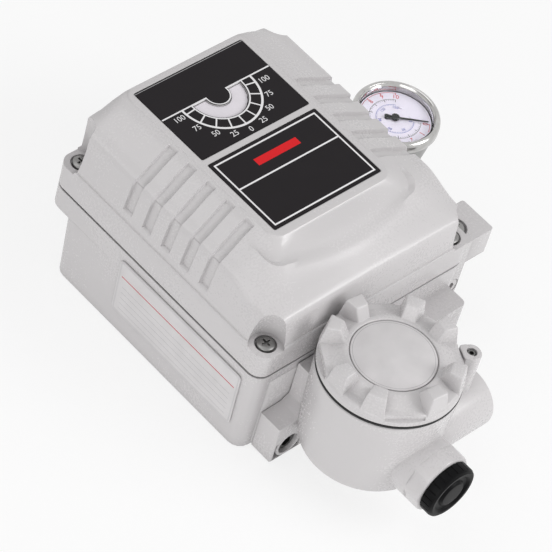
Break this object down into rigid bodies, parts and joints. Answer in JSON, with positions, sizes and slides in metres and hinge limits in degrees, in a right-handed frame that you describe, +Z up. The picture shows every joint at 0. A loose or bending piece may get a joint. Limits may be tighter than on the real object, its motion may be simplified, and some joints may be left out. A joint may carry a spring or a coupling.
{
  "type": "rotary valve positioner",
  "caption": "Rotary electro-pneumatic valve positioner: die-cast housing with lift-off cover, cam-driven feedback, torque motor, terminal box, pilot block and gauge.",
  "frame": {"origin": "on the main shaft's axis, in the plane of the base's underside, at the centre of the shaft's drive end", "axes": "+X to the right and +Y to the top of the cover labels' text, +Z up through the cover; the terminal box is at -Y"},
  "size_m": [0.1773, 0.2291, 0.0962],
  "materials": {
    "base_housing": "warm light grey gloss coating on die-cast aluminium",
    "cover_gasket": "matt black rubber",
    "nameplate": "pale printed foil, bare",
    "terminal_housing": "warm light grey gloss coating on die-cast aluminium",
    "flange_bolt_1": "black oxide steel",
    "flange_bolt_2": "black oxide steel",
    "cap_lock_screw": "black oxide steel",
    "terminal_strip": "black moulded plastic",
    "lead_through_bush": "plain machined brass",
    "pilot_block": "warm light grey gloss coating on die-cast aluminium",
    "block_screw_1": "black oxide steel",
    "block_screw_2": "black oxide steel",
    "spool_spring": "stainless steel, machined",
    "pilot_end_plug_1": "plain machined brass",
    "pilot_end_plug_2": "plain machined brass",
    "gauge_stem": "plain machined brass",
    "gauge_case": "stainless steel, machined",
    "gauge_bezel": "polished chrome",
    "gauge_dial": "white printed dial",
    "gauge_glass": "flat clear glass",
    "shaft_bush_lower": "sintered bronze",
    "shaft_bush_upper": "sintered bronze",
    "lever_pivot_pin": "stainless steel, machined",
    "lever_retaining_ring": "black oxide steel",
    "motor_yoke": "soft iron, phosphated",
    "motor_screw_1": "bright zinc plated steel",
    "motor_screw_2": "bright zinc plated steel",
    "magnet_left": "dark ferrite",
    "magnet_right": "dark ferrite",
    "motor_coil": "varnished copper winding",
    "armature_pivot_pin": "stainless steel, machined",
    "nozzle": "plain machined brass",
    "nozzle_block": "machined aluminium",
    "zero_spindle": "stainless steel, machined",
    "feedback_spring": "stainless steel, machined",
    "top_cover": "warm light grey gloss coating on die-cast aluminium",
    "window_lens": "clear moulded polycarbonate",
    "upper_label": "black printed plate with a plain scale",
    "lower_label": "black printed plate, bare",
    "cover_screw_1": "bright zinc plated steel",
    "cover_screw_2": "bright zinc plated steel",
    "cover_screw_3": "bright zinc plated steel",
    "cover_screw_4": "bright zinc plated steel",
    "main_shaft": "stainless steel, machined",
    "cam": "stainless steel, machined",
    "cam_nut": "bright zinc plated steel",
    "position_indicator": "white plastic with a raised mark",
    "indicator_screw": "bright zinc plated steel",
    "feedback_lever": "stainless steel, machined",
    "roller_pin": "stainless steel, machined",
    "cam_roller": "plain machined brass",
    "armature": "stainless steel, machined",
    "zero_adjusting_wheel": "black nylon",
    "pilot_spool": "stainless steel, machined",
    "auto_manual_screw": "bright zinc plated steel",
    "gauge_pointer": "black pointer",
    "cap_o_ring": "black rubber",
    "terminal_cap": "warm light grey gloss coating on die-cast aluminium",
    "cap_disc": "light grey print plate, bare",
    "conduit_plug": "black moulded plastic"
  },
  "bodies": {
    "housing": {"base_housing": "base_housing", "cover_gasket": "cover_gasket", "nameplate": "nameplate", "terminal_housing": "terminal_housing", "flange_bolt_1": "flange_bolt_1", "flange_bolt_2": "flange_bolt_2", "cap_lock_screw": "cap_lock_screw", "terminal_strip": "terminal_strip", "lead_through_bush": "lead_through_bush", "pilot_block": "pilot_block", "block_screw_1": "block_screw_1", "block_screw_2": "block_screw_2", "spool_spring": "spool_spring", "pilot_end_plug_1": "pilot_end_plug_1", "pilot_end_plug_2": "pilot_end_plug_2", "gauge_stem": "gauge_stem", "gauge_case": "gauge_case", "gauge_bezel": "gauge_bezel", "gauge_dial": "gauge_dial", "gauge_glass": "gauge_glass", "shaft_bush_lower": "shaft_bush_lower", "shaft_bush_upper": "shaft_bush_upper", "lever_pivot_pin": "lever_pivot_pin", "lever_retaining_ring": "lever_retaining_ring", "motor_yoke": "motor_yoke", "motor_screw_1": "motor_screw_1", "motor_screw_2": "motor_screw_2", "magnet_left": "magnet_left", "magnet_right": "magnet_right", "motor_coil": "motor_coil", "armature_pivot_pin": "armature_pivot_pin", "nozzle": "nozzle", "nozzle_block": "nozzle_block", "zero_spindle": "zero_spindle", "feedback_spring": "feedback_spring"},
    "cover": {"top_cover": "top_cover", "window_lens": "window_lens", "upper_label": "upper_label", "lower_label": "lower_label", "cover_screw_1": "cover_screw_1", "cover_screw_2": "cover_screw_2", "cover_screw_3": "cover_screw_3", "cover_screw_4": "cover_screw_4"},
    "shaft": {"main_shaft": "main_shaft", "cam": "cam", "cam_nut": "cam_nut", "position_indicator": "position_indicator", "indicator_screw": "indicator_screw"},
    "lever": {"feedback_lever": "feedback_lever", "roller_pin": "roller_pin"},
    "roller": {"cam_roller": "cam_roller"},
    "flapper": {"armature": "armature"},
    "zero_wheel": {"zero_adjusting_wheel": "zero_adjusting_wheel"},
    "spool": {"pilot_spool": "pilot_spool"},
    "auto_screw": {"auto_manual_screw": "auto_manual_screw"},
    "pointer": {"gauge_pointer": "gauge_pointer"},
    "cap_seal": {"cap_o_ring": "cap_o_ring"},
    "cap": {"terminal_cap": "terminal_cap", "cap_disc": "cap_disc"},
    "plug": {"conduit_plug": "conduit_plug"}
  },
  "joints": [
    {"name": "cover_lift", "type": "slide", "parent": "housing", "child": "cover", "axis": [0, 0, 1], "range_m": [0, 0.08]},
    {"name": "shaft_turn", "type": "hinge", "parent": "housing", "child": "shaft", "pos_m": [0, 0, 0.03], "axis": [0, 0, 1], "range_deg": [0, 90]},
    {"name": "lever_swing", "type": "hinge", "parent": "housing", "child": "lever", "pos_m": [-0.035, -0.022, 0.06], "axis": [0, 0, 1], "range_deg": [-20, 0], "deforming": ["feedback_spring"]},
    {"name": "roller_spin", "type": "hinge", "parent": "lever", "child": "roller", "pos_m": [-0.00053, -0.01592, 0.0585], "axis": [0, 0, 1], "continuous": true},
    {"name": "flapper_tilt", "type": "hinge", "parent": "housing", "child": "flapper", "pos_m": [0.012, -0.064, 0.035], "axis": [0, 0, 1], "range_deg": [-1.2, 1.2]},
    {"name": "zero_wheel_turn", "type": "hinge", "parent": "housing", "child": "zero_wheel", "pos_m": [-0.04, -0.075, 0.045], "axis": [0, 0, 1], "continuous": true},
    {"name": "spool_slide", "type": "slide", "parent": "housing", "child": "spool", "axis": [0, 1, 0], "range_m": [-0.0015, 0.0015], "stiffness_N_per_m": 300, "deforming": ["spool_spring"]},
    {"name": "auto_screw_turn", "type": "hinge", "parent": "housing", "child": "auto_screw", "pos_m": [0.0761, -0.097, 0.05], "axis": [0, 0, 1], "range_deg": [0, 360]},
    {"name": "pointer_turn", "type": "hinge", "parent": "housing", "child": "pointer", "pos_m": [0.08895, -0.0383, 0.061], "axis": [0, 0, 1], "range_deg": [-270, 0]},
    {"name": "terminal_cap_rise", "type": "slide", "parent": "housing", "child": "cap_seal", "axis": [0, 0, 1], "range_m": [0, 0.012]},
    {"name": "terminal_cap_turn", "type": "hinge", "parent": "cap_seal", "child": "cap", "pos_m": [-0.0227, -0.1497, 0.07], "axis": [0, 0, 1], "range_deg": [0, 2160]},
    {"name": "conduit_plug_pull", "type": "slide", "parent": "housing", "child": "plug", "axis": [0, -1, 0], "range_m": [0, 0.03]}
  ],
  "couplings": [
    {"joint": "lever_swing", "follows": "shaft_turn", "ratio": -0.22222},
    {"joint": "terminal_cap_rise", "follows": "terminal_cap_turn", "m_per_rad": 0.00031831}
  ]
}
